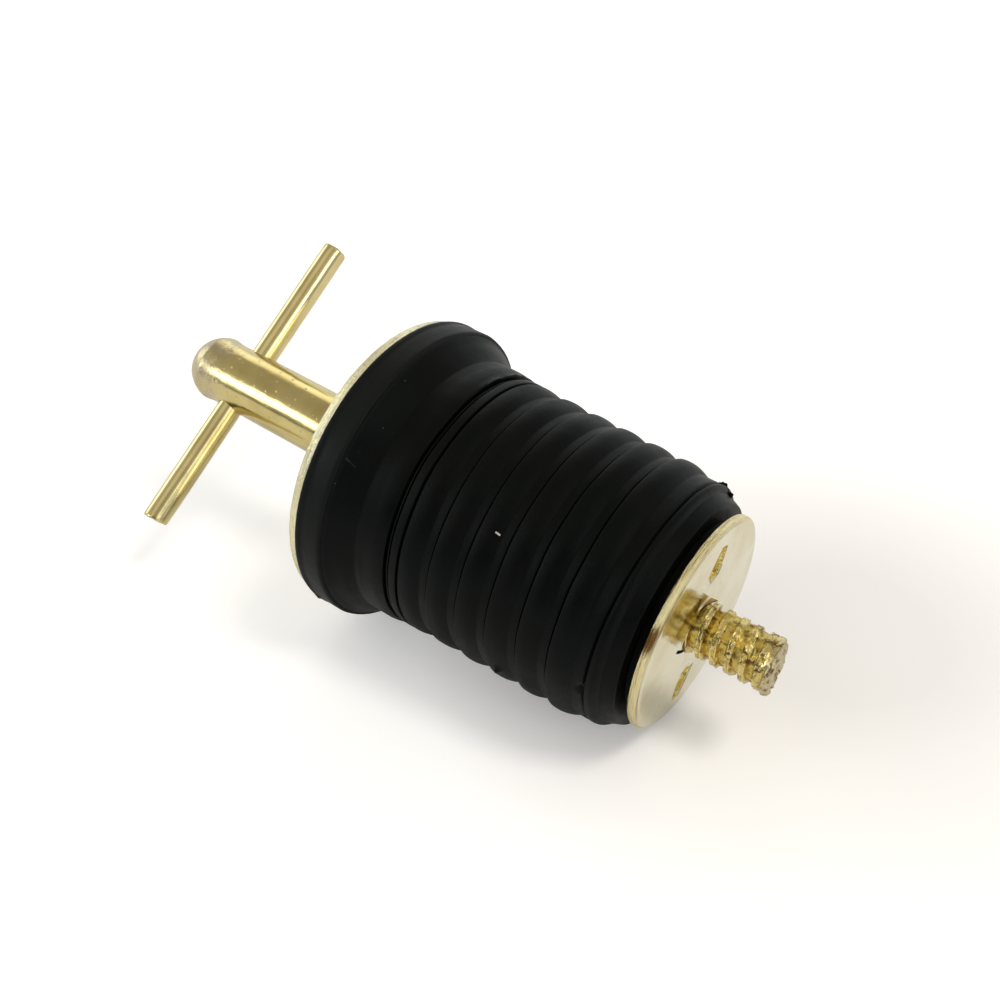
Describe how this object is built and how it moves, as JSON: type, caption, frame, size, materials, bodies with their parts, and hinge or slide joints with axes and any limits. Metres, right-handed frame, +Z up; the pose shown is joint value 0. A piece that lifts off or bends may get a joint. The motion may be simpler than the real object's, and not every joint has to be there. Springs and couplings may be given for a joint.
{
  "type": "expanding screw plug",
  "caption": "Expanding screw plug: a T handled screw draws a threaded end plate towards a washer, which squeezes a ribbed rubber bung so that it grips its hole.",
  "frame": {"origin": "centre of the footprint at floor level, with the plug lying on its side on its flange and its ribs", "axes": "+X runs from the handle to the threaded end and +Z up; the screw dips 6.35 degrees below +X because the bung is tapered"},
  "size_m": [0.0808, 0.0354, 0.0354],
  "materials": {
    "turned_brass": "turned, lightly worn",
    "drawn_brass": "drawn wire, satin",
    "stamped_brass": "stamped sheet, bright",
    "black_rubber": "moulded, satin"
  },
  "bodies": {
    "bung": {"rubber_bung": "black_rubber", "top_washer": "stamped_brass"},
    "screw": {"handle_screw": "turned_brass", "cross_pin": "drawn_brass"},
    "plate": {"end_plate": "stamped_brass"}
  },
  "joints": [
    {"name": "screw_turn", "type": "hinge", "parent": "bung", "child": "screw", "pos_m": [-0.00769, 0, 0.01784], "axis": [0.9939, 0, -0.1106], "range_deg": [-270, 1170]},
    {"name": "plate_travel", "type": "slide", "parent": "bung", "child": "plate", "axis": [-0.9939, 0, 0.1106], "range_m": [-0.0012, 0.0052], "deforming": ["rubber_bung"]}
  ],
  "couplings": [
    {"joint": "plate_travel", "follows": "screw_turn", "m_per_rad": 0.00025266}
  ]
}
